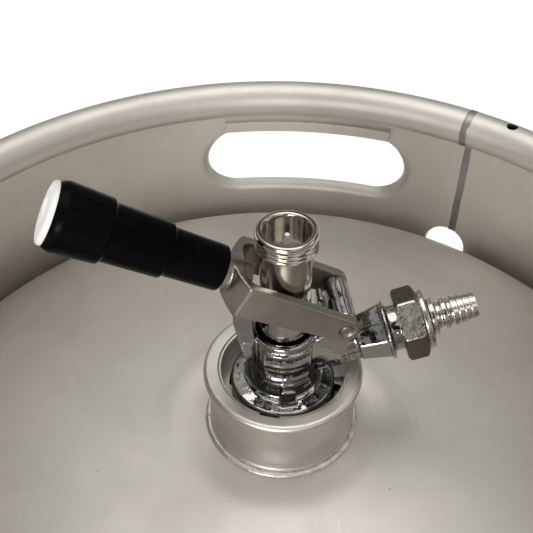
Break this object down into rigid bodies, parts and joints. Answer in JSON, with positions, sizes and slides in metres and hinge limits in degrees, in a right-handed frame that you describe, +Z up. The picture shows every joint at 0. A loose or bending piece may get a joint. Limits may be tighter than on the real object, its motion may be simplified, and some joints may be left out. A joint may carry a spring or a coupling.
{
  "type": "beer keg",
  "caption": "Upright steel keg with rolled rims and handholds, and a lever-operated dispense coupler with gas inlet in its neck.",
  "frame": {"origin": "keg's axis at the floor, under the centre of the foot ring", "axes": "+Z up along the keg's axis; +X towards the coupler's gas inlet, -X towards the grip"},
  "size_m": [0.408, 0.408, 0.6084],
  "materials": {
    "satin_shell": "bead-blasted satin stainless",
    "satin_chime": "bead-blasted satin stainless",
    "brushed_seam": "ground and brushed weld",
    "bright_weld": "bright pickled weld bead",
    "turned_steel": "fine turned stainless",
    "valve_steel": "machined stainless",
    "spring_steel": "drawn spring wire",
    "chrome": "polished chrome plate on a casting",
    "nickel": "satin nickel plate on a casting",
    "nut_nickel": "nickel plate with cast faces",
    "barb_nickel": "bright nickel plate, turned",
    "polished_nickel": "polished nickel plate",
    "black_rubber": "matt nitrile rubber",
    "black_plastic": "semi-gloss black moulded plastic",
    "white_plastic": "white moulded plastic"
  },
  "bodies": {
    "keg": {"upper_shell": "satin_shell", "lower_shell": "satin_shell", "girth_weld": "bright_weld", "top_chime": "satin_chime", "bottom_chime": "satin_chime", "top_chime_seam": "brushed_seam", "bottom_chime_seam": "brushed_seam", "top_chime_weld": "bright_weld", "bottom_chime_weld": "bright_weld", "handhold_hems": "satin_chime", "neck_fitting": "turned_steel", "neck_weld": "bright_weld", "neck_gasket": "black_rubber", "retaining_ring": "spring_steel", "valve_housing": "valve_steel", "main_spring": "spring_steel"},
    "valve": {"valve_seal": "black_rubber", "valve_head": "valve_steel", "spear_tube": "valve_steel", "ball_spring": "spring_steel"},
    "valve_ball": {"valve_ball": "valve_steel"},
    "coupler": {"coupler_body": "chrome", "coupler_seal": "black_rubber", "probe_ring": "black_rubber", "hinge_pin": "nickel", "gas_washer": "black_rubber", "gas_tailpiece": "barb_nickel", "gas_nut": "nut_nickel", "gas_check_valve": "black_rubber"},
    "probe": {"probe": "polished_nickel", "probe_tip_seal": "black_rubber", "ball_retainer": "polished_nickel", "retainer_stem": "white_plastic"},
    "check_ball": {"check_ball": "valve_steel"},
    "lever": {"lever_fork": "nickel", "drive_pins": "nickel", "grip_tube": "spring_steel", "tube_bush": "spring_steel"},
    "grip": {"grip": "black_plastic", "grip_cap": "white_plastic", "latch_plunger": "nickel", "latch_spring": "spring_steel"}
  },
  "joints": [
    {"name": "coupler_twist", "type": "hinge", "parent": "keg", "child": "coupler", "pos_m": [0, 0, 0.51465], "axis": [0, 0, 1], "range_deg": [0, 60]},
    {"name": "lever_swing", "type": "hinge", "parent": "coupler", "child": "lever", "pos_m": [0.0208, 0, 0.54705], "axis": [0, -1, 0], "range_deg": [0, 30]},
    {"name": "probe_slide", "type": "slide", "parent": "coupler", "child": "probe", "axis": [0, 0, -1], "range_m": [0, 0.01111]},
    {"name": "valve_slide", "type": "slide", "parent": "keg", "child": "valve", "axis": [0, 0, -1], "range_m": [0, 0.01111], "deforming": ["main_spring"]},
    {"name": "valve_ball_slide", "type": "slide", "parent": "valve", "child": "valve_ball", "axis": [0, 0, -1], "range_m": [0, 0.0029], "deforming": ["ball_spring"]},
    {"name": "check_ball_lift", "type": "slide", "parent": "probe", "child": "check_ball", "axis": [0, 0, 1], "range_m": [0, 0.004]},
    {"name": "grip_pull", "type": "slide", "parent": "lever", "child": "grip", "axis": [-0.8821, 0, 0.471], "range_m": [0, 0.0045], "stiffness_N_per_m": 900, "springref_m": -0.004, "deforming": ["latch_spring"]}
  ],
  "couplings": [
    {"joint": "probe_slide", "follows": "lever_swing", "m_per_rad": 0.021184},
    {"joint": "valve_slide", "follows": "lever_swing", "m_per_rad": 0.021184},
    {"joint": "valve_ball_slide", "follows": "lever_swing", "m_per_rad": 0.0055}
  ]
}
